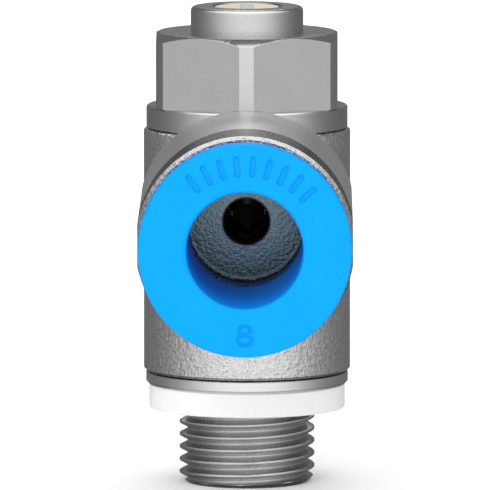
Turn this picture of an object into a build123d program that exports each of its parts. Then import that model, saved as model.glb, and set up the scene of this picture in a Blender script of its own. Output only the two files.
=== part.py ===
"""Swivel flow control valve: hollow screw with a G 1/8 thread, swivelling body with a push-in port
for an 8 mm tube, one-way lip seal and captive regulating screw.

Millimetres. Origin on the screw axis in the sealing plane (underside of the white ring), +Z up
towards the hexagon, tube port along -Y.
"""
import os

from build123d import *

# thread, ISO 228 G 1/8
THREAD_MAJOR_R = 9.728 / 2
THREAD_PITCH = 0.907
THREAD_DEPTH = 0.581
THREAD_FLANK = 0.3024
THREAD_ROOT_FLAT = 0.12
THREAD_BOTTOM = -5.41
THREAD_CHAMFER_Z = -4.91
THREAD_END_R = 4.35
THREAD_TURNS = 6

# rings between the thread and the body
SHANK_R = 5.05
SEAL_RING_R = 7.04
SEAL_RING_TOP = 1.72
FLANGE_BOTTOM = 1.73
FLANGE_R = 7.266
FLANGE_TOP = 2.595

# swivel body
BODY_R = 7.42
BODY_BOTTOM = 2.72
BODY_TOP = 20.17
BODY_BORE_R = 5.62

# hollow screw
LAND_R = 5.56
LAND_BOTTOM = 2.62
WAIST_BOTTOM = 5.1
WAIST_TOP = 17.0
WAIST_R = 4.0
COLLAR_R = 7.225
COLLAR_BOTTOM = 20.22
HEX_BOTTOM = 21.82
HEX_TOP = 27.10
HEX_AF = 13.0
HEX_FACE_R = 6.40
BOSS_R = 4.04
BOSS_TOP = 28.94
FLOW_BORE_R = 2.9
SEAT_BORE_R = 2.7
SEAT_BORE_BOTTOM = 9.5
FINE_BORE_R = 2.56
GUIDE_BORE_R = 2.44
FINE_BORE_BOTTOM = 16.0
STOP_STEP = 21.55
ORING_GROOVE_R = 4.65
LOWER_GROOVE = 3.35
UPPER_GROOVE = 18.05
GROOVE_W = 1.15
LOWER_HOLES_Z = 7.2
LOWER_HOLE_R = 1.15
UPPER_HOLE_R = 1.60
LIP_GROOVE = 9.68
LIP_HEEL_TOP = 11.42

# regulating screw, drawn fully open
NEEDLE_TIP = 13.2
NEEDLE_R = 1.45
SEAT_R = 1.5
SEAT_BOTTOM = 10.0
SEAT_TOP = 12.0
SCREW_THREAD_R = 2.52
SCREW_HEAD_R = 2.40
SCREW_SHOULDER = 21.50
SCREW_TOP = 28.88
SCREW_GROOVE = 25.0
SCREW_GROOVE_R = 1.62
SLOT_W = 0.97
SLOT_DEPTH = 1.0

# tube port, axis along -Y at height PORT_Z
PORT_Z = 14.44
PORT_R = 7.66
PORT_ROUND_Z = 14.41
PORT_HALF_WIDTH = 7.52
PORT_CHAMFER = 0.27
PORT_END_Y = -25.05
CARTRIDGE_R = 6.2
CARTRIDGE_STEP_Y = -10.4
TUBE_R = 4.05
SOCKET_FLOOR_Y = -9.69
TUBE_O_RING_Y = -11.35
AIR_HOLE_R = 1.65

# release ring
RING_R = 7.44
RING_BACK_Y = -27.05
RING_FACE_Y = -28.65
RING_NOSE_Y = -15.2
MARK_DEPTH = 0.16
MARK_RADIUS = 5.9

PORT_AXIS = Axis((0, 0, PORT_Z), (0, 1, 0))


def on_port(points):
    """Profile points given as (distance along -Y, radius) placed in the Y-Z plane."""
    return [(-y, PORT_Z + r) for y, r in points]


# ---------------------------------------------------------------- hollow screw
with BuildPart() as hollow_screw:
    with BuildSketch(Plane.XZ):
        with BuildLine():
            Polyline(
                (0, THREAD_BOTTOM), (THREAD_END_R, THREAD_BOTTOM), (THREAD_MAJOR_R, THREAD_CHAMFER_Z),
                (THREAD_MAJOR_R, 0), (SHANK_R, 0), (SHANK_R, LAND_BOTTOM), (LAND_R - 0.12, LAND_BOTTOM),
                (LAND_R, LAND_BOTTOM + 0.12), (LAND_R, LOWER_GROOVE), (ORING_GROOVE_R, LOWER_GROOVE),
                (ORING_GROOVE_R, LOWER_GROOVE + GROOVE_W), (LAND_R, LOWER_GROOVE + GROOVE_W),
                (LAND_R, WAIST_BOTTOM), (WAIST_R, WAIST_BOTTOM), (WAIST_R, LIP_GROOVE), (3.78, LIP_GROOVE),
                (3.78, LIP_GROOVE + 0.68), (WAIST_R, LIP_GROOVE + 0.68), (WAIST_R, LIP_HEEL_TOP),
                (4.4, LIP_HEEL_TOP), (4.4, WAIST_TOP), (LAND_R, WAIST_TOP), (LAND_R, UPPER_GROOVE),
                (ORING_GROOVE_R, UPPER_GROOVE), (ORING_GROOVE_R, UPPER_GROOVE + GROOVE_W),
                (LAND_R, UPPER_GROOVE + GROOVE_W), (LAND_R, COLLAR_BOTTOM), (COLLAR_R - 0.1, COLLAR_BOTTOM),
                (COLLAR_R, COLLAR_BOTTOM + 0.1), (COLLAR_R, HEX_BOTTOM - 0.1),
                (COLLAR_R - 0.1, HEX_BOTTOM), (0, HEX_BOTTOM), close=True,
            )
        make_face()
    revolve(axis=Axis.Z)
    # hexagon, its corners turned down to the collar radius and chamfered at 30 degrees
    with BuildSketch(Plane.XY.offset(HEX_BOTTOM)):
        RegularPolygon(radius=HEX_AF / 2, side_count=6, major_radius=False, rotation=30)
        Circle(COLLAR_R, mode=Mode.INTERSECT)
    extrude(amount=HEX_TOP - HEX_BOTTOM)
    with BuildSketch(Plane.XZ):
        with BuildLine():
            Polyline(
                (HEX_FACE_R, HEX_TOP), (HEX_FACE_R + 1.732, HEX_TOP - 1.0),
                (HEX_FACE_R + 1.732, HEX_TOP + 0.5), (HEX_FACE_R, HEX_TOP + 0.5), close=True,
            )
        make_face()
    revolve(axis=Axis.Z, mode=Mode.SUBTRACT)
    # boss with a rounded rim
    with BuildSketch(Plane.XZ):
        with BuildLine():
            Polyline((BOSS_R - 0.35, BOSS_TOP), (0, BOSS_TOP), (0, HEX_TOP - 0.1), (BOSS_R, HEX_TOP - 0.1))
            Line((BOSS_R, HEX_TOP - 0.1), (BOSS_R, BOSS_TOP - 0.35))
            CenterArc((BOSS_R - 0.35, BOSS_TOP - 0.35), 0.35, 0, 90)
        make_face()
    revolve(axis=Axis.Z)
    # stepped bore for the air and the regulating screw
    with BuildSketch(Plane.XZ):
        with BuildLine():
            Polyline(
                (0, THREAD_BOTTOM - 1), (FLOW_BORE_R + 0.35, THREAD_BOTTOM - 1),
                (FLOW_BORE_R + 0.35, THREAD_BOTTOM), (FLOW_BORE_R, THREAD_BOTTOM + 0.35),
                (FLOW_BORE_R, SEAT_BORE_BOTTOM), (SEAT_BORE_R, SEAT_BORE_BOTTOM + 0.2),
                (SEAT_BORE_R, FINE_BORE_BOTTOM), (FINE_BORE_R, FINE_BORE_BOTTOM + 0.14),
                (FINE_BORE_R, STOP_STEP), (GUIDE_BORE_R, STOP_STEP), (GUIDE_BORE_R, BOSS_TOP - 0.06),
                (GUIDE_BORE_R + 0.06, BOSS_TOP), (GUIDE_BORE_R + 0.06, BOSS_TOP + 1), (0, BOSS_TOP + 1),
                close=True,
            )
        make_face()
    revolve(axis=Axis.Z, mode=Mode.SUBTRACT)
    # cross holes: lower row for the free flow, upper row above the throttle
    for height, radius, across in (
        (LOWER_HOLES_Z, LOWER_HOLE_R, (1, 1, 0)), (LOWER_HOLES_Z, LOWER_HOLE_R, (-1, 1, 0)),
        (PORT_Z, UPPER_HOLE_R, (1, 0, 0)), (PORT_Z, UPPER_HOLE_R, (0, 1, 0)),
    ):
        with BuildSketch(Plane(origin=(0, 0, height), z_dir=across)):
            Circle(radius)
        extrude(amount=6, both=True, mode=Mode.SUBTRACT)
    # thread grooves at the true pitch and depth
    with BuildSketch(Plane.XZ):
        for turn in range(THREAD_TURNS):
            z = -0.50 - turn * THREAD_PITCH
            root_r = THREAD_MAJOR_R - THREAD_DEPTH
            half_root = THREAD_ROOT_FLAT / 2
            half_open = half_root + THREAD_FLANK
            flare = half_open + 0.1 * THREAD_FLANK / THREAD_DEPTH
            with BuildLine():
                Polyline(
                    (root_r, z - half_root), (THREAD_MAJOR_R + 0.1, z - flare),
                    (THREAD_MAJOR_R + 0.1, z + flare), (root_r, z + half_root), close=True,
                )
            make_face()
    revolve(axis=Axis.Z, mode=Mode.SUBTRACT)
hollow_screw.part.label = "hollow_screw"

# ---------------------------------------------------------------- rings under the body
with BuildPart() as flange_ring:
    with BuildSketch(Plane.XZ):
        with BuildLine():
            Polyline(
                (SHANK_R + 0.005, FLANGE_BOTTOM), (FLANGE_R - 0.2, FLANGE_BOTTOM),
                (FLANGE_R, FLANGE_BOTTOM + 0.2), (FLANGE_R, FLANGE_TOP - 0.06),
                (FLANGE_R - 0.06, FLANGE_TOP), (SHANK_R + 0.005, FLANGE_TOP), close=True,
            )
        make_face()
    revolve(axis=Axis.Z)
flange_ring.part.label = "flange_ring"

with BuildPart() as thread_seal_ring:
    with BuildSketch(Plane.XZ):
        with BuildLine():
            Polyline(
                (SHANK_R + 0.02, 0), (SEAL_RING_R - 0.06, 0), (SEAL_RING_R, 0.06),
                (SEAL_RING_R, SEAL_RING_TOP - 0.05), (SEAL_RING_R - 0.05, SEAL_RING_TOP),
                (SHANK_R + 0.02, SEAL_RING_TOP), close=True,
            )
        make_face()
    revolve(axis=Axis.Z)
thread_seal_ring.part.label = "thread_seal_ring"

# ---------------------------------------------------------------- seals and rings on the screw
with BuildPart() as lower_body_o_ring:
    with BuildSketch(Plane.XZ):
        with Locations((ORING_GROOVE_R + 0.475, LOWER_GROOVE + GROOVE_W / 2)):
            RectangleRounded(0.93, 1.02, 0.42)
    revolve(axis=Axis.Z)
lower_body_o_ring.part.label = "lower_body_o_ring"

with BuildPart() as upper_body_o_ring:
    with BuildSketch(Plane.XZ):
        with Locations((ORING_GROOVE_R + 0.475, UPPER_GROOVE + GROOVE_W / 2)):
            RectangleRounded(0.93, 1.02, 0.42)
    revolve(axis=Axis.Z)
upper_body_o_ring.part.label = "upper_body_o_ring"

with BuildPart() as check_lip_seal:
    with BuildSketch(Plane.XZ):
        with BuildLine():
            Polyline(
                (WAIST_R + 0.01, LIP_HEEL_TOP - 0.02), (4.75, LIP_HEEL_TOP - 0.02), (5.56, 9.7),
                (5.56, 9.15), (5.2, 9.15), (4.62, 10.42), (WAIST_R + 0.01, 10.42), close=True,
            )
        make_face()
    revolve(axis=Axis.Z)
check_lip_seal.part.label = "check_lip_seal"

with BuildPart() as lip_seal_retainer:
    with BuildSketch(Plane.XZ):
        with Locations((4.13, LIP_GROOVE + 0.34)):
            Rectangle(0.66, 0.62)
    revolve(axis=Axis.Z)
    with BuildSketch(Plane.XY.offset(LIP_GROOVE)):
        with Locations((4.2, 0)):
            Rectangle(1.4, 2.6)
    extrude(amount=1, mode=Mode.SUBTRACT)
lip_seal_retainer.part.label = "lip_seal_retainer"

with BuildPart() as throttle_seat:
    with BuildSketch(Plane.XZ):
        with BuildLine():
            Polyline(
                (SEAT_R, SEAT_BOTTOM + 0.3), (SEAT_R + 0.4, SEAT_BOTTOM), (SEAT_BORE_R - 0.005, SEAT_BOTTOM),
                (SEAT_BORE_R - 0.005, SEAT_TOP), (SEAT_R + 0.25, SEAT_TOP), (SEAT_R, SEAT_TOP - 0.25),
                close=True,
            )
        make_face()
    revolve(axis=Axis.Z)
throttle_seat.part.label = "throttle_seat"

# ---------------------------------------------------------------- regulating screw
with BuildPart() as regulating_screw:
    with BuildSketch(Plane.XZ):
        with BuildLine():
            Polyline(
                (0, NEEDLE_TIP), (0.6, NEEDLE_TIP), (NEEDLE_R, NEEDLE_TIP + 1.6), (NEEDLE_R, 17.6),
                (SCREW_THREAD_R - 0.2, 17.6), (SCREW_THREAD_R, 17.8), (SCREW_THREAD_R, SCREW_SHOULDER),
                (SCREW_HEAD_R, SCREW_SHOULDER), (SCREW_HEAD_R, SCREW_GROOVE), (SCREW_GROOVE_R, SCREW_GROOVE),
                (SCREW_GROOVE_R, SCREW_GROOVE + 0.95), (SCREW_HEAD_R, SCREW_GROOVE + 0.95),
                (SCREW_HEAD_R, SCREW_TOP - 0.12), (SCREW_HEAD_R - 0.12, SCREW_TOP), (0, SCREW_TOP),
                close=True,
            )
        make_face()
    revolve(axis=Axis.Z)
    with BuildSketch(Plane.XY.offset(SCREW_TOP - SLOT_DEPTH)):
        Rectangle(SLOT_W, 6)
    extrude(amount=SLOT_DEPTH + 0.5, mode=Mode.SUBTRACT)
regulating_screw.part.label = "regulating_screw"

with BuildPart() as regulating_screw_o_ring:
    with BuildSketch(Plane.XZ):
        with Locations((SCREW_GROOVE_R + 0.405, SCREW_GROOVE + 0.475)):
            RectangleRounded(0.77, 0.85, 0.32)
    revolve(axis=Axis.Z)
regulating_screw_o_ring.part.label = "regulating_screw_o_ring"

# ---------------------------------------------------------------- swivel body
# port block: round with flat sides, its mouth edge turned off at 45 degrees
with BuildPart() as port_block:
    with BuildSketch(Plane(origin=(0, 0, PORT_ROUND_Z), x_dir=(1, 0, 0), z_dir=(0, -1, 0))):
        Circle(PORT_R)
        Rectangle(2 * PORT_HALF_WIDTH, 4 * PORT_R, mode=Mode.INTERSECT)
    extrude(amount=-PORT_END_Y)
    with BuildSketch(Plane.YZ):
        with BuildLine():
            Polyline(
                *on_port([
                    (0, 0), (0, PORT_R + 1), (-PORT_END_Y - 1 - PORT_CHAMFER, PORT_R + 1),
                    (-PORT_END_Y, PORT_R - PORT_CHAMFER), (-PORT_END_Y, 0),
                ]),
                close=True,
            )
        make_face()
    revolve(axis=PORT_AXIS, mode=Mode.INTERSECT)

with BuildPart() as swivel_body:
    with BuildSketch(Plane.XZ):
        with BuildLine():
            Polyline(
                (BODY_R - 0.2, BODY_TOP), (0, BODY_TOP), (0, BODY_BOTTOM), (BODY_R - 0.17, BODY_BOTTOM),
                (BODY_R, BODY_BOTTOM + 0.17), (BODY_R, BODY_TOP - 0.2),
            )
            CenterArc((BODY_R - 0.2, BODY_TOP - 0.2), 0.2, 0, 90)
        make_face()
    revolve(axis=Axis.Z)
    add(port_block.part)
    # room for the collar of the hollow screw above the body
    with BuildSketch(Plane.XY.offset(BODY_TOP)):
        Circle(COLLAR_R + 0.08)
    extrude(amount=6, mode=Mode.SUBTRACT)
    # bore for the hollow screw
    with BuildSketch(Plane.XZ):
        with BuildLine():
            Polyline(
                (0, BODY_BOTTOM - 1), (BODY_BORE_R + 0.3, BODY_BOTTOM - 1), (BODY_BORE_R + 0.3, BODY_BOTTOM),
                (BODY_BORE_R, BODY_BOTTOM + 0.3), (BODY_BORE_R, BODY_TOP + 0.01), (0, BODY_TOP + 0.01),
                close=True,
            )
        make_face()
    revolve(axis=Axis.Z, mode=Mode.SUBTRACT)
    # socket for the push-in cartridge, the tube and the air hole
    with BuildSketch(Plane.YZ):
        with BuildLine():
            Polyline(
                *on_port([
                    (0, 0), (0, AIR_HOLE_R), (-SOCKET_FLOOR_Y, AIR_HOLE_R), (-SOCKET_FLOOR_Y, TUBE_R),
                    (-CARTRIDGE_STEP_Y, TUBE_R), (-CARTRIDGE_STEP_Y, CARTRIDGE_R),
                    (-PORT_END_Y - 0.2, CARTRIDGE_R), (-PORT_END_Y, CARTRIDGE_R + 0.2),
                    (-PORT_END_Y + 1, CARTRIDGE_R + 0.2), (-PORT_END_Y + 1, 0),
                ]),
                close=True,
            )
        make_face()
    revolve(axis=PORT_AXIS, mode=Mode.SUBTRACT)
swivel_body.part.label = "swivel_body"

# ---------------------------------------------------------------- push-in cartridge
with BuildPart() as tube_o_ring:
    with BuildSketch(Plane.YZ):
        with Locations((TUBE_O_RING_Y, PORT_Z + 5.105)):
            RectangleRounded(1.7, 2.05, 0.8)
    revolve(axis=PORT_AXIS)
tube_o_ring.part.label = "tube_o_ring"

with BuildPart() as o_ring_spacer:
    with BuildSketch(Plane.YZ):
        with BuildLine():
            Polyline(
                *on_port([
                    (12.31, TUBE_R + 0.03), (12.31, 6.17), (13.84, 6.17), (13.84, 5.4), (12.95, 4.2),
                    (12.95, TUBE_R + 0.03),
                ]),
                close=True,
            )
        make_face()
    revolve(axis=PORT_AXIS)
o_ring_spacer.part.label = "o_ring_spacer"

with BuildPart() as grab_ring:
    with BuildSketch(Plane.YZ):
        with BuildLine():
            Polyline(
                *on_port([
                    (13.87, 6.15), (14.09, 6.15), (14.09, 5.35), (13.27, 4.08), (13.08, 4.2),
                    (13.87, 5.45),
                ]),
                close=True,
            )
        make_face()
    revolve(axis=PORT_AXIS)
    with BuildSketch(Plane(origin=(0, -12.9, PORT_Z), x_dir=(1, 0, 0), z_dir=(0, -1, 0))):
        with PolarLocations(4.65, 12):
            Rectangle(1.5, 0.16)
    extrude(amount=2, mode=Mode.SUBTRACT)
grab_ring.part.label = "grab_ring"

with BuildPart() as grab_ring_support:
    with BuildSketch(Plane.YZ):
        with BuildLine():
            Polyline(
                *on_port([(14.12, 5.55), (14.12, 6.15), (14.98, 6.15), (14.98, 5.15), (14.6, 5.15)]),
                close=True,
            )
        make_face()
    revolve(axis=PORT_AXIS)
grab_ring_support.part.label = "grab_ring_support"

with BuildPart() as cartridge_sleeve:
    with BuildSketch(Plane.YZ):
        with BuildLine():
            Polyline(
                *on_port([
                    (15.0, 5.78), (15.0, 6.19), (24.85, 6.19), (25.0, 6.04), (25.0, 5.4), (24.85, 5.25),
                    (23.2, 5.25), (23.2, 5.78),
                ]),
                close=True,
            )
        make_face()
    revolve(axis=PORT_AXIS)
cartridge_sleeve.part.label = "cartridge_sleeve"

# ---------------------------------------------------------------- release ring
with BuildPart() as release_ring:
    with BuildSketch(Plane.YZ):
        with BuildLine():
            Polyline(
                *on_port([
                    (-RING_NOSE_Y, TUBE_R), (-RING_NOSE_Y, 4.55), (-RING_NOSE_Y + 0.4, 4.95), (21.6, 4.95),
                    (21.6, 5.4), (21.8, 5.6), (23.1, 5.6), (23.1, 5.15), (-RING_BACK_Y, 5.15),
                    (-RING_BACK_Y, RING_R - 0.1), (-RING_BACK_Y + 0.1, RING_R), (-RING_FACE_Y - 0.15, RING_R),
                ])
            )
            Polyline(*on_port([(-RING_FACE_Y - 0.28, TUBE_R), (-RING_NOSE_Y, TUBE_R)]))
            CenterArc((RING_FACE_Y + 0.15, PORT_Z + RING_R - 0.15), 0.15, 90, 90)
            Line(*on_port([(-RING_FACE_Y, RING_R - 0.15), (-RING_FACE_Y, TUBE_R + 0.28)]))
            CenterArc((RING_FACE_Y + 0.28, PORT_Z + TUBE_R + 0.28), 0.28, 180, 90)
        make_face()
    revolve(axis=PORT_AXIS)
    # size mark 8 below the throat and a row of plain grip marks above it
    with BuildSketch(Plane(origin=(0, RING_FACE_Y, PORT_Z), x_dir=(1, 0, 0), z_dir=(0, -1, 0))):
        with Locations((0, -MARK_RADIUS + 0.38)):
            Ellipse(0.50, 0.42)
            Ellipse(0.26, 0.19, mode=Mode.SUBTRACT)
        with Locations((0, -MARK_RADIUS - 0.32)):
            Ellipse(0.60, 0.47)
            Ellipse(0.34, 0.23, mode=Mode.SUBTRACT)
    extrude(amount=-MARK_DEPTH, mode=Mode.SUBTRACT)
    with BuildSketch(Plane(origin=(0, RING_FACE_Y, PORT_Z), x_dir=(1, 0, 0), z_dir=(0, -1, 0))):
        with PolarLocations(MARK_RADIUS, 9, start_angle=42, angular_range=96):
            SlotOverall(1.5, 0.42)
    extrude(amount=-MARK_DEPTH, mode=Mode.SUBTRACT)
release_ring.part.label = "release_ring"

os.makedirs("parts", exist_ok=True)
export_step(hollow_screw.part, "parts/hollow_screw.step")
export_step(flange_ring.part, "parts/flange_ring.step")
export_step(thread_seal_ring.part, "parts/thread_seal_ring.step")
export_step(upper_body_o_ring.part, "parts/upper_body_o_ring.step")
export_step(lower_body_o_ring.part, "parts/lower_body_o_ring.step")
export_step(check_lip_seal.part, "parts/check_lip_seal.step")
export_step(lip_seal_retainer.part, "parts/lip_seal_retainer.step")
export_step(throttle_seat.part, "parts/throttle_seat.step")
export_step(regulating_screw.part, "parts/regulating_screw.step")
export_step(regulating_screw_o_ring.part, "parts/regulating_screw_o_ring.step")
export_step(swivel_body.part, "parts/swivel_body.step")
export_step(tube_o_ring.part, "parts/tube_o_ring.step")
export_step(o_ring_spacer.part, "parts/o_ring_spacer.step")
export_step(grab_ring.part, "parts/grab_ring.step")
export_step(grab_ring_support.part, "parts/grab_ring_support.step")
export_step(cartridge_sleeve.part, "parts/cartridge_sleeve.step")
export_step(release_ring.part, "parts/release_ring.step")
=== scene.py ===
import math

import bmesh
import bpy
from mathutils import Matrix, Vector

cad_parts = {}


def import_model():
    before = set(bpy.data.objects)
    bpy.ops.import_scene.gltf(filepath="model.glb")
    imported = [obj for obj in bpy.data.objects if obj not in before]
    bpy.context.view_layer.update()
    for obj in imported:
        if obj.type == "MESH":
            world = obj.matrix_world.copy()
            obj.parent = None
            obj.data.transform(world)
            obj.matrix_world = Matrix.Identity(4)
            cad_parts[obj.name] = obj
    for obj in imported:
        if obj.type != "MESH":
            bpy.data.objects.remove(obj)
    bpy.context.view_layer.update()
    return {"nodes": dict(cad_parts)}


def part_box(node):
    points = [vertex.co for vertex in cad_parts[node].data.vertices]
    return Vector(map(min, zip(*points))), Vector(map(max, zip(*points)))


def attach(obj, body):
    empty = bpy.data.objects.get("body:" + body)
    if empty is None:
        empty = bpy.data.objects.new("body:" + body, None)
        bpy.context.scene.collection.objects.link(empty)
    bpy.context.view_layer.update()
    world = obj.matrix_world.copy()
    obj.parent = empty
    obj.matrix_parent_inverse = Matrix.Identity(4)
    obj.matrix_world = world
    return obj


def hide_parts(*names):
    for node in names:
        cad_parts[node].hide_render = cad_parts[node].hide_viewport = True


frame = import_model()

nodes = frame["nodes"]
scene = bpy.context.scene
scene.view_settings.view_transform = "Standard"
scene.view_settings.look = "None"

MM = 0.001
FLOOR_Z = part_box("hollow_screw")[0].z

# Where the surfaces of the pieces change, in mm. The screw's axis is z, and the port points towards -y.
PORT_Z = 14.44                          # height of the port's axis
PORT_SMOOTH_TO = -19.72                 # the machined part of the port ends here
PORT_RIM_FROM = -24.79                  # the turned rim of the port starts here
CLEAR_OF_BARREL_R = 7.435               # the port's outside, and nothing of the barrel, is beyond this radius
PORT_WALL_R = 6.6                       # the port's outer wall, and not its socket, is beyond this radius
SOCKET_R, SOCKET_FROM = 6.5, -5.7       # the inside of the socket
AIR_HOLE_R, AIR_HOLE_FROM = 1.75, -4.0  # the hole in the socket's floor
SCREW_INSIDE_R = 5.2                    # within this radius and these heights, every surface of the
SCREW_INSIDE_Z = (5.0, 26.0)            # screw is in its bore or covered by the body
GUIDE_R, GUIDE_FROM = 2.6, 26.0         # the bore that guides the regulating screw
SLOT_HALF_WIDTH, SLOT_FROM = 0.49, 27.8  # the screwdriver slot of the regulating screw
HEX_BOTTOM, HEX_TOP = 21.9, 27.2
HEX_FLAT_FROM_AXIS = 6.5


# ------------------------------------------------------------------ node helper
LATHE_DRIFT = 0.02      # how much the turning marks change across the piece


class Tree:
    """A material's node tree, with short calls for the nodes used below. Its coordinates are in mm."""

    def __init__(self, name, **principled):
        self.m = bpy.data.materials.new(name)
        self.m.use_nodes = True
        self.t = self.m.node_tree
        self.shader = self.t.nodes["Principled BSDF"]
        for key, value in principled.items():
            self.shader.inputs[key.replace("_", " ")].default_value = value
        coords = self.t.nodes.new("ShaderNodeTexCoord")
        self.mm = self.vec("MULTIPLY", coords.outputs["Object"], (1000, 1000, 1000))
        self._bump = None

    def put(self, socket, value):
        if hasattr(value, "is_linked"):
            self.t.links.new(value, socket)
        else:
            socket.default_value = value

    def vec(self, operation, a, b=(0, 0, 0)):
        n = self.t.nodes.new("ShaderNodeVectorMath")
        n.operation = operation
        self.put(n.inputs[0], a)
        self.put(n.inputs[1], b)
        return n.outputs["Value" if operation == "LENGTH" else "Vector"]

    def math(self, operation, a, b=0.0):
        n = self.t.nodes.new("ShaderNodeMath")
        n.operation = operation
        self.put(n.inputs[0], a)
        self.put(n.inputs[1], b)
        return n.outputs[0]

    def xyz(self):
        n = self.t.nodes.new("ShaderNodeSeparateXYZ")
        self.put(n.inputs[0], self.mm)
        return n.outputs

    def join(self, x, y, z):
        n = self.t.nodes.new("ShaderNodeCombineXYZ")
        for socket, value in zip(n.inputs, (x, y, z)):
            self.put(socket, value)
        return n.outputs[0]

    def noise(self, scale, detail=3.0, vector=None, roughness=0.55):
        n = self.t.nodes.new("ShaderNodeTexNoise")
        self.put(n.inputs["Vector"], self.mm if vector is None else vector)
        n.inputs["Scale"].default_value = scale
        n.inputs["Detail"].default_value = detail
        n.inputs["Roughness"].default_value = roughness
        return n.outputs["Fac"]

    def span(self, value, low, high, to_low=0.0, to_high=1.0):
        n = self.t.nodes.new("ShaderNodeMapRange")
        for key, v in zip(("Value", "From Min", "From Max", "To Min", "To Max"),
                          (value, low, high, to_low, to_high)):
            self.put(n.inputs[key], v)
        return n.outputs["Result"]

    def mix(self, factor, a, b):
        n = self.t.nodes.new("ShaderNodeMix")
        n.data_type = "RGBA"
        self.put(n.inputs[0], factor)
        self.put(n.inputs[6], a)
        self.put(n.inputs[7], b)
        return n.outputs[2]

    def bump(self, height, depth_mm):
        """Add a bump on top of the bumps that the material already has."""
        n = self.t.nodes.new("ShaderNodeBump")
        n.inputs["Strength"].default_value = 1.0
        n.inputs["Distance"].default_value = depth_mm * MM
        self.put(n.inputs["Height"], height)
        if self._bump is not None:
            self.put(n.inputs["Normal"], self._bump)
        self._bump = n.outputs["Normal"]
        self.put(self.shader.inputs["Normal"], self._bump)

    def colour(self, value):
        self.put(self.shader.inputs["Base Color"], value)

    def rough(self, value):
        self.put(self.shader.inputs["Roughness"], value)

    def lathe(self, axis="z"):
        """Coordinates that hardly change round the turning axis, so noise on them makes turning marks."""
        x, y, z = self.xyz()
        if axis == "z":
            radius = self.vec("LENGTH", self.join(x, y, 0.0))
            return self.join(radius, z, self.math("MULTIPLY", x, LATHE_DRIFT))
        radius = self.vec("LENGTH", self.join(x, self.math("SUBTRACT", z, PORT_Z), 0.0))
        return self.join(radius, y, self.math("MULTIPLY", x, LATHE_DRIFT))


def grey(v, tint=(1.0, 1.0, 1.0)):
    return (v * tint[0], v * tint[1], v * tint[2], 1.0)


# ------------------------------------------------------------------ materials
def turned_metal(name, low, high, rough_low, rough_high, lines, depth, axis="z", turned=0.55,
                 grain_depth=0.0006, screw=False):
    """Metal with turning marks, a faint cloud and a fine grain. 'turned' is the share of the marks."""
    t = Tree(name, Metallic=1.0)
    ring = t.noise(lines, 4.0, t.lathe(axis), 0.65)
    cloud = t.noise(0.45, 3.0)
    fine = t.noise(8.0, 2.0, roughness=0.5)
    shade = t.math("ADD", t.math("MULTIPLY", ring, turned), t.math("MULTIPLY", cloud, 0.25))
    shade = t.math("ADD", shade, t.math("MULTIPLY", fine, 0.75 - turned))
    colour = t.mix(t.span(shade, 0.32, 0.68), low, high)
    if screw:
        # painted shade, dark inside the body and darker in the guide bore, and little grain on the cut thread
        x, y, z = t.xyz()
        from_axis = t.vec("LENGTH", t.join(x, y, 0.0))
        bottom, top = SCREW_INSIDE_Z
        inside_shade = t.math("MULTIPLY", t.math("LESS_THAN", from_axis, SCREW_INSIDE_R),
                        t.math("MULTIPLY", t.math("GREATER_THAN", z, bottom), t.math("LESS_THAN", z, top)))
        colour = t.mix(inside_shade, colour, grey(0.05))
        guide_bore_shade = t.math("MULTIPLY", t.math("LESS_THAN", from_axis, GUIDE_R),
                       t.math("GREATER_THAN", z, GUIDE_FROM))
        colour = t.mix(guide_bore_shade, colour, grey(0.40))
        fine = t.math("MULTIPLY", fine, t.span(z, -0.1, 0.3, 0.12, 1.0))
    t.colour(colour)
    t.rough(t.span(shade, 0.35, 0.65, rough_low, rough_high))
    t.bump(ring, depth)
    t.bump(fine, grain_depth)
    return t.m


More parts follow.
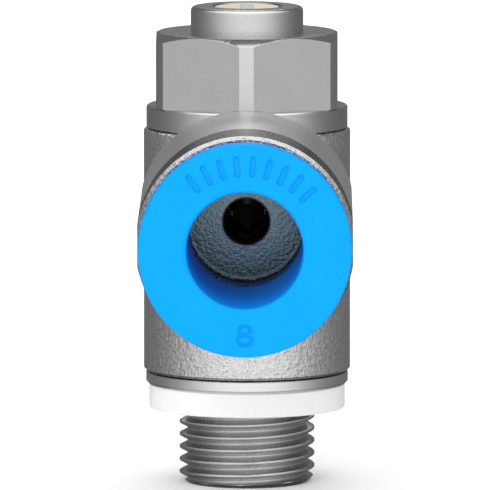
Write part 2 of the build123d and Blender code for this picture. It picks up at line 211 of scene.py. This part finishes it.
def cast_metal():
    """Blasted casting with the smooth machined length of the port, a band painted nearly black as a painted
    reflection of the dark studio behind, its rim, and painted shade in its socket and air hole.
    """
    t = Tree("cast_metal", Metallic=1.0)
    x, y, z = t.xyz()
    from_screw = t.vec("LENGTH", t.join(x, y, 0.0))
    from_port = t.vec("LENGTH", t.join(x, t.math("SUBTRACT", z, PORT_Z), 0.0))
    outer_wall = t.math("GREATER_THAN", from_port, PORT_WALL_R)
    outside = t.math("MULTIPLY", t.math("GREATER_THAN", from_screw, CLEAR_OF_BARREL_R), outer_wall)
    smooth = t.math("MULTIPLY", outside, t.math("GREATER_THAN", y, PORT_SMOOTH_TO))
    cast = t.math("SUBTRACT", 1.0, smooth)
    rim = t.math("MULTIPLY", t.math("LESS_THAN", y, PORT_RIM_FROM), outer_wall)
    band = t.math("MULTIPLY", outside, t.math("SUBTRACT", cast, rim))
    hole_shade = t.math("MULTIPLY", t.math("LESS_THAN", from_port, AIR_HOLE_R),
                  t.math("LESS_THAN", y, AIR_HOLE_FROM))
    socket = t.math("MULTIPLY", t.math("LESS_THAN", from_port, SOCKET_R),
                    t.math("LESS_THAN", y, SOCKET_FROM))
    pits = t.noise(3.6, 2.0, roughness=0.5)
    grain = t.noise(7.0, 2.0, roughness=0.5)
    cloud = t.noise(0.5, 3.0)
    shade = t.math("ADD", t.math("MULTIPLY", pits, 0.65), t.math("MULTIPLY", grain, 0.35))
    rough_colour = t.mix(t.span(shade, 0.40, 0.60), grey(0.66), grey(0.84))
    smooth_colour = t.mix(t.span(cloud, 0.35, 0.65), grey(0.70), grey(0.76))
    colour = t.mix(smooth, rough_colour, smooth_colour)
    # painted reflection: the band between the machined length and the rim is painted nearly black
    colour = t.mix(t.math("MULTIPLY", band, 0.88), colour, grey(0.04))
    colour = t.mix(t.math("MULTIPLY", rim, 0.6), colour, grey(0.34))
    # painted shade: the inside of the socket is painted a dark blue-grey
    colour = t.mix(t.math("MULTIPLY", socket, 0.85), colour, (0.052, 0.122, 0.144, 1))
    # painted shade: the air hole is painted black
    t.colour(t.mix(t.math("MULTIPLY", hole_shade, 0.9), colour, grey(0.02)))
    t.rough(t.math("ADD", t.math("MULTIPLY", cast, t.span(grain, 0.3, 0.7, 0.20, 0.30)),
                   t.math("MULTIPLY", smooth, 0.40)))
    # the machined length has no pits, and the socket has shallow ones
    relief = t.math("SUBTRACT", cast, t.math("MULTIPLY", socket, 0.72))
    t.bump(t.math("MULTIPLY", shade, relief), 0.105)
    t.bump(t.noise(9.0, 3.0, roughness=0.6), 0.0018)
    return t.m


def brass():
    """Turned brass, with its slot painted light grey as a painted reflection and with painted shade in its
    corners, and painted shade below in the bore.
    """
    t = Tree("brass", Metallic=0.3)
    x, _, z = t.xyz()
    ring = t.noise(7.0, 4.0, t.lathe(), 0.6)
    cloud = t.noise(1.2, 3.0)
    shade = t.math("ADD", t.math("MULTIPLY", ring, 0.6), t.math("MULTIPLY", cloud, 0.4))
    colour = t.mix(t.span(shade, 0.35, 0.65), (0.78, 0.62, 0.44, 1), (0.90, 0.76, 0.58, 1))
    side = t.math("ABSOLUTE", x)
    slot = t.math("MULTIPLY", t.math("LESS_THAN", side, SLOT_HALF_WIDTH),
                  t.math("GREATER_THAN", z, SLOT_FROM))
    # painted reflection on the slot's floor, and painted shade in its corners
    slot_corner_shade = t.span(side, 0.40, 0.48)
    slot_reflection_and_shade = t.mix(slot_corner_shade, grey(0.62, (1.0, 0.985, 0.97)), grey(0.06))
    colour = t.mix(slot, colour, slot_reflection_and_shade)
    # painted shade: the brass darkens to near black below, down in the bore
    t.colour(t.mix(t.span(z, 24.0, 27.6), (0.06, 0.045, 0.02, 1), colour))
    t.rough(t.span(ring, 0.3, 0.7, 0.30, 0.44))
    t.bump(ring, 0.002)
    return t.m


def claw_steel():
    """Spring steel with faint rolling streaks along the port."""
    t = Tree("claw_steel", Metallic=1.0)
    x, y, z = t.xyz()
    streak = t.noise(5.0, 3.0, t.join(t.math("MULTIPLY", x, 3.0), t.math("MULTIPLY", y, 0.3), z))
    t.colour(t.mix(t.span(streak, 0.35, 0.65), grey(0.5), grey(0.62)))
    t.rough(t.span(streak, 0.3, 0.7, 0.22, 0.4))
    t.bump(streak, 0.002)
    return t.m


def moulded(name, low, high, rough_low, rough_high, speckle, depth, **principled):
    """Moulded plastic or rubber with a faint cloud and speckle."""
    t = Tree(name, **principled)
    cloud = t.noise(0.35, 3.0)
    fine = t.noise(speckle, 3.0, roughness=0.6)
    shade = t.math("ADD", t.math("MULTIPLY", cloud, 0.5), t.math("MULTIPLY", fine, 0.5))
    t.colour(t.mix(t.span(shade, 0.35, 0.65), low, high))
    t.rough(t.span(fine, 0.3, 0.7, rough_low, rough_high))
    t.bump(fine, depth)
    t.bump(cloud, depth * 4)
    return t.m


MATERIALS = {
    "screw_metal": turned_metal("screw_metal", grey(0.55), grey(0.64, (1.0, 1.0, 0.995)), 0.19, 0.28, 6.0,
                                0.0003, turned=0.15, grain_depth=0.0010, screw=True),
    "ring_metal": turned_metal("ring_metal", grey(0.70), grey(0.82), 0.12, 0.26, 3.0, 0.0015),
    "sleeve_metal": turned_metal("sleeve_metal", grey(0.52), grey(0.66), 0.18, 0.30, 5.0, 0.002, "y"),
    "cast_metal": cast_metal(),
    "brass": brass(),
    "claw_steel": claw_steel(),
    "white_plastic": moulded("white_plastic", grey(0.76), grey(0.80, (1, 1, 0.995)), 0.42, 0.55, 9.0,
                             0.002),
    "blue_plastic": moulded("blue_plastic", (0.002, 0.25, 0.72, 1), (0.003, 0.278, 0.78, 1), 0.34, 0.46,
                            11.0, 0.0015, Specular_IOR_Level=0.05),
    "black_rubber": moulded("black_rubber", grey(0.018), grey(0.032), 0.55, 0.72, 8.0, 0.004),
    "black_plastic": moulded("black_plastic", grey(0.03), grey(0.05), 0.40, 0.55, 8.0, 0.003),
}
WEARS = {
    "hollow_screw": "screw_metal",
    "flange_ring": "ring_metal",
    "thread_seal_ring": "white_plastic",
    "upper_body_o_ring": "black_rubber",
    "lower_body_o_ring": "black_rubber",
    "check_lip_seal": "black_rubber",
    "lip_seal_retainer": "claw_steel",
    "throttle_seat": "brass",
    "regulating_screw": "brass",
    "regulating_screw_o_ring": "black_rubber",
    "swivel_body": "cast_metal",
    "tube_o_ring": "black_rubber",
    "o_ring_spacer": "black_plastic",
    "grab_ring": "claw_steel",
    "grab_ring_support": "black_plastic",
    "cartridge_sleeve": "sleeve_metal",
    "release_ring": "blue_plastic",
}


def wear(obj, material):
    if obj.material_slots:
        for slot in obj.material_slots:
            slot.material = material
    else:
        obj.data.materials.append(material)


for name, material in WEARS.items():
    wear(nodes[name], MATERIALS[material])


# ------------------------------------------------------------------ hollow screw with a real helical thread
PITCH = 0.907
CREST_R, GROOVE_DEPTH, GROOVE_FLANK, GROOVE_FLAT = 4.864, 0.581, 0.3024, 0.12
GROOVE_ROUND = 0.16                     # reach of the rounding to each side of a corner, over the flank
SHANK_R, FLOW_BORE_R, BORE_CHAMFER = 5.05, 2.9, 0.35
THREAD_END, CHAMFER_START, END_R = -5.41, -4.91, 4.35
FIRST_GROOVE = -0.40
COLUMNS, ROWS_PER_PITCH = 192, 26
BORE_MIDDLE_Z = -2.5                    # a row that keeps the faces of the bore from getting long
JOIN_Z, JOIN_GAP = 0.02, 0.02           # the new end goes up to here, and is bridged to the old top
BETWEEN_RIMS_R = 4.0                    # between the bore's rim and the shank's rim
WELD, THREAD_WELD, NO_LENGTH = 1e-6, 2e-7, 1e-8  # distances in metres
CLEAR_OF_BOSS_R = 5.9                   # the hexagon, and nothing of the boss, is beyond this radius
FLAT_WITHIN, UPRIGHT_WITHIN = 0.005, 0.01  # how well a face has to fit a flat, in mm and in its normal
HEX_EDGE_ROUND = 0.06
SAME_PLANE_DEG, SHARP_DEG, THREAD_SHARP_DEG = 0.5, 17, 45
BOSS_ROUND_FROM = 28.5                  # the rounded top edge of the boss starts here


def soft_step(t, w=GROOVE_ROUND):
    """0 to 1 with rounded corners, for the rounded root and crest."""
    if t <= -w:
        return 0.0
    if t >= 1 + w:
        return 1.0
    if t < w:
        return (t + w) ** 2 / (4 * w)
    if t > 1 - w:
        return 1 - (1 - t + w) ** 2 / (4 * w)
    return t


def thread_radius(along, z):
    """Radius where 'along' is the height measured with the helix taken out."""
    from_groove = abs((along - FIRST_GROOVE + PITCH / 2) % PITCH - PITCH / 2)
    t = (from_groove - GROOVE_FLAT / 2) / GROOVE_FLANK
    radius = CREST_R - GROOVE_DEPTH + GROOVE_DEPTH * soft_step(t)
    if z < CHAMFER_START:
        cone = CREST_R - (CHAMFER_START - z) * (CREST_R - END_R) / (CHAMFER_START - THREAD_END)
        radius = min(radius, cone)
    return radius


def angles():
    """The angles of the columns, with the first one again at the end."""
    return [2 * math.pi * i / COLUMNS - math.pi for i in range(COLUMNS + 1)]


def vert(bm, radius, a, z):
    return bm.verts.new((radius * MM * math.sin(a), -radius * MM * math.cos(a), z * MM))


def ring_verts(bm, radius, z):
    return [vert(bm, radius, a, z) for a in angles()]


def skin(bm, upper, lower):
    for i in range(COLUMNS):
        bm.faces.new((upper[i], lower[i], lower[i + 1], upper[i + 1]))


def helical_end():
    """The threaded end below the sealing plane: shank face, helix, end chamfer, end face and bore."""
    bm = bmesh.new()
    first = math.ceil((PITCH / 2 - FIRST_GROOVE) / PITCH * ROWS_PER_PITCH)
    last = math.floor((THREAD_END - PITCH / 2 - FIRST_GROOVE) / PITCH * ROWS_PER_PITCH) - 1
    rows = [ring_verts(bm, SHANK_R, JOIN_Z), ring_verts(bm, SHANK_R, 0.0)]
    for step in range(first, last - 1, -1):
        along = FIRST_GROOVE + step * PITCH / ROWS_PER_PITCH
        row = []
        for a in angles():
            rise = PITCH * a / (2 * math.pi)
            z = min(0.0, max(THREAD_END, along + rise))
            row.append(vert(bm, thread_radius(z - rise, z), a, z))
        rows.append(row)
    for radius, z in ((FLOW_BORE_R + BORE_CHAMFER, THREAD_END), (FLOW_BORE_R, THREAD_END + BORE_CHAMFER),
                      (FLOW_BORE_R, BORE_MIDDLE_Z), (FLOW_BORE_R, JOIN_Z)):
        rows.append(ring_verts(bm, radius, z))
    for upper, lower in zip(rows, rows[1:]):
        skin(bm, upper, lower)
    bmesh.ops.remove_doubles(bm, verts=bm.verts, dist=THREAD_WELD)
    bmesh.ops.dissolve_degenerate(bm, dist=NO_LENGTH, edges=bm.edges)
    return bm


def on_hexagon_flat(face):
    """Whether the face lies in one of the hexagon's six flats."""
    middle = face.calc_center_median()
    from_axis = middle.x * face.normal.x + middle.y * face.normal.y
    return (HEX_BOTTOM * MM < middle.z < HEX_TOP * MM and abs(face.normal.z) < UPRIGHT_WITHIN
            and abs(from_axis - HEX_FLAT_FROM_AXIS * MM) < FLAT_WITHIN * MM)


def mark_sharp(mesh, limit):
    """Shade smooth, except for the hexagon's flats and edges sharper than limit(their middle) in degrees."""
    bm = bmesh.new()
    bm.from_mesh(mesh)
    bm.normal_update()
    for face in bm.faces:
        face.smooth = not on_hexagon_flat(face)
    for edge in bm.edges:
        middle = (edge.verts[0].co + edge.verts[1].co) / 2
        edge.smooth = not (edge.is_manifold and edge.calc_face_angle(0) > math.radians(limit(middle)))
    bm.to_mesh(mesh)
    bm.free()


def soften_hexagon(bm):
    """Break the sharp edges of the hexagon with a small round, which catches the light."""
    def on_hexagon(co):
        return (HEX_BOTTOM * MM < co.z < HEX_TOP * MM
                and Vector((co.x, co.y)).length > CLEAR_OF_BOSS_R * MM)

    faces = [f for f in bm.faces if all(on_hexagon(v.co) for v in f.verts)]
    edges = dict.fromkeys(e for f in faces for e in f.edges)  # each edge once, in the same order each run
    flat_edges = [e for e in edges if len(e.link_faces) == 2
                  and e.calc_face_angle(0) < math.radians(SAME_PLANE_DEG)]
    bmesh.ops.dissolve_edges(bm, edges=flat_edges, use_verts=False)
    sharp = [e for e in bm.edges if e.is_manifold and e.calc_face_angle(0) > math.radians(SHARP_DEG)
             and all(on_hexagon(v.co) for v in e.verts)]
    bmesh.ops.bevel(bm, geom=sharp, offset=HEX_EDGE_ROUND * MM, segments=2, profile=0.5, affect="EDGES",
                    clamp_overlap=True)


def sharp_limit(at):
    """The thread and the rounded top of the boss are shaded smooth over wider angles than the rest."""
    return THREAD_SHARP_DEG if at.z < 0 or at.z > BOSS_ROUND_FROM * MM else SHARP_DEG


def hollow_screw():
    """The screw from the CAD with a helical end in place of its ringed one, and a softer hexagon."""
    bm = bmesh.new()
    bm.from_mesh(nodes["hollow_screw"].data)
    bmesh.ops.remove_doubles(bm, verts=bm.verts, dist=WELD)
    everything = bm.verts[:] + bm.edges[:] + bm.faces[:]
    bmesh.ops.bisect_plane(bm, geom=everything, plane_co=(0, 0, (JOIN_Z + JOIN_GAP) * MM),
                           plane_no=(0, 0, 1), clear_inner=True)
    end = helical_end()
    end_mesh = bpy.data.meshes.new("thread_end")
    end.to_mesh(end_mesh)
    end.free()
    bm.from_mesh(end_mesh)
    bpy.data.meshes.remove(end_mesh)
    rims = [e for e in bm.edges if e.is_boundary]
    for outer in (True, False):
        loop = [e for e in rims
                if (Vector((e.verts[0].co.x, e.verts[0].co.y)).length > BETWEEN_RIMS_R * MM) == outer]
        bmesh.ops.bridge_loops(bm, edges=loop)
    bmesh.ops.recalc_face_normals(bm, faces=bm.faces)
    soften_hexagon(bm)
    mesh = bpy.data.meshes.new("hollow_screw_threaded")
    bm.to_mesh(mesh)
    bm.free()
    mark_sharp(mesh, sharp_limit)
    screw = bpy.data.objects.new("hollow_screw_threaded", mesh)
    scene.collection.objects.link(screw)
    mesh.materials.append(MATERIALS["screw_metal"])
    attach(screw, "screw_group")
    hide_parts("hollow_screw")


hollow_screw()


# ------------------------------------------------------------------ floor, light and camera
FLOOR_SIZE, FLOOR_GAP = 3.0, 0.00002    # metres, and the gap keeps the end of the screw off the floor
# brightness of the world round the horizon, from the front (0) to the back (1)
HORIZON = ((0.0, 1.15), (0.10, 1.12), (0.194, 1.02), (0.261, 0.88), (0.333, 0.70), (0.411, 0.49),
           (0.494, 0.34), (0.589, 0.245), (0.711, 0.19), (0.80, 0.17), (0.89, 0.17), (1.0, 0.145))
CEILING = 1.75                          # brightness of the world overhead
# name, place, aim, size, power, and whether it shows in reflections
LIGHTS = (
    ("front_soft", (-0.12, -0.62, 0.2), (0, 0, 0.012), 0.4, 2.3, False),
    ("back_glow", (0.0, 0.4, 0.27), (0, -0.015, 0.02), 0.12, 0.10, True),
    ("floor_wash", (0.0, 0.5, 0.9), (0, 0.15, 0), 1.0, 2.8, False),
)
CAMERA_ELEVATION_DEG, CAMERA_TURN_DEG, CAMERA_DISTANCE = 6.42, 0.31, 0.7768
CAMERA_TARGET = (0, 0, 0.01166)
CAMERA_LENS, CAMERA_SHIFT = 793.3, -0.0041


def stage_floor():
    mesh = bpy.data.meshes.new("stage_floor")
    bm = bmesh.new()
    bmesh.ops.create_grid(bm, x_segments=8, y_segments=8, size=FLOOR_SIZE)
    bm.to_mesh(mesh)
    bm.free()
    floor = bpy.data.objects.new("stage_floor", mesh)
    scene.collection.objects.link(floor)
    floor.location = (0, 0, FLOOR_Z - FLOOR_GAP)
    t = Tree("stage_floor", Roughness=0.9, Specular_IOR_Level=0.0)
    t.colour(t.mix(t.noise(0.01, 2.0), grey(0.95), grey(0.97)))
    mesh.materials.append(t.m)
    floor.visible_glossy = False


def world():
    """A studio that is bright in front and above, and darker at the back and below."""
    w = bpy.data.worlds.new("studio")
    scene.world = w
    w.use_nodes = True
    t = w.node_tree
    out = t.nodes["Background"]

    def node(kind, **settings):
        n = t.nodes.new(kind)
        for key, value in settings.items():
            setattr(n, key, value)
        return n

    def calc(operation, a, b=0.0):
        n = node("ShaderNodeMath", operation=operation)
        for socket, value in zip(n.inputs, (a, b)):
            if hasattr(value, "is_linked"):
                t.links.new(value, socket)
            else:
                socket.default_value = value
        return n.outputs[0]

    def smooth(value, low, high, to_low=0.0):
        n = node("ShaderNodeMapRange", interpolation_type="SMOOTHSTEP")
        t.links.new(value, n.inputs["Value"])
        n.inputs["From Min"].default_value = low
        n.inputs["From Max"].default_value = high
        n.inputs["To Min"].default_value = to_low
        return n.outputs["Result"]

    direction = node("ShaderNodeTexCoord").outputs["Generated"]
    split = node("ShaderNodeSeparateXYZ")
    t.links.new(direction, split.inputs[0])
    x, y, z = split.outputs
    flat = calc("SQRT", calc("ADD", calc("MULTIPLY", x, x), calc("MULTIPLY", y, y)))
    facing = calc("DIVIDE", calc("MULTIPLY", y, -1.0), calc("MAXIMUM", flat, 0.0001))
    within = calc("MINIMUM", calc("MAXIMUM", facing, -1.0), 1.0)
    angle = calc("DIVIDE", calc("ARCCOSINE", within), math.pi)
    ramp = node("ShaderNodeValToRGB")
    band = ramp.color_ramp
    while len(band.elements) < len(HORIZON):
        band.elements.new(0.5)
    for element, (at, value) in zip(band.elements, HORIZON):
        element.position = at
        element.color = (value / 2, value / 2, value / 2, 1)  # doubled again below, as the ramp ends at 1
    t.links.new(angle, ramp.inputs[0])
    horizon = calc("MULTIPLY", ramp.outputs[0], 2.0)
    # the ceiling is bright except at the back, and the ground is dimmer all round
    ceiling = calc("MULTIPLY", smooth(z, 0.32, 0.95), smooth(y, 0.42, 0.08))
    horizon = calc("MULTIPLY", horizon, smooth(z, -0.60, -0.16, 0.38))
    level = calc("ADD", calc("MULTIPLY", horizon, calc("SUBTRACT", 1.0, ceiling)),
                 calc("MULTIPLY", ceiling, CEILING))
    t.links.new(level, out.inputs["Color"])
    out.inputs["Strength"].default_value = 1.0


def area_light(name, place, aim, size, power, glossy):
    data = bpy.data.lights.new(name, "AREA")
    data.shape = "DISK"
    data.size = size
    data.energy = power
    light = bpy.data.objects.new(name, data)
    light.location = place
    light.rotation_euler = (Vector(aim) - Vector(place)).to_track_quat("-Z", "Y").to_euler()
    light.visible_glossy = glossy
    scene.collection.objects.link(light)


def camera():
    elevation, turn = math.radians(CAMERA_ELEVATION_DEG), math.radians(CAMERA_TURN_DEG)
    back = Vector((math.sin(turn) * math.cos(elevation), -math.cos(turn) * math.cos(elevation),
                   math.sin(elevation)))
    data = bpy.data.cameras.new("camera")
    data.sensor_width = 36
    data.lens = CAMERA_LENS
    data.shift_x = CAMERA_SHIFT
    data.clip_start = 0.05
    data.clip_end = 50
    cam = bpy.data.objects.new("camera", data)
    cam.location = Vector(CAMERA_TARGET) + back * CAMERA_DISTANCE
    cam.rotation_euler = (-back).to_track_quat("-Z", "Y").to_euler()
    scene.collection.objects.link(cam)
    scene.camera = cam


stage_floor()
world()
for light in LIGHTS:
    area_light(*light)
camera()
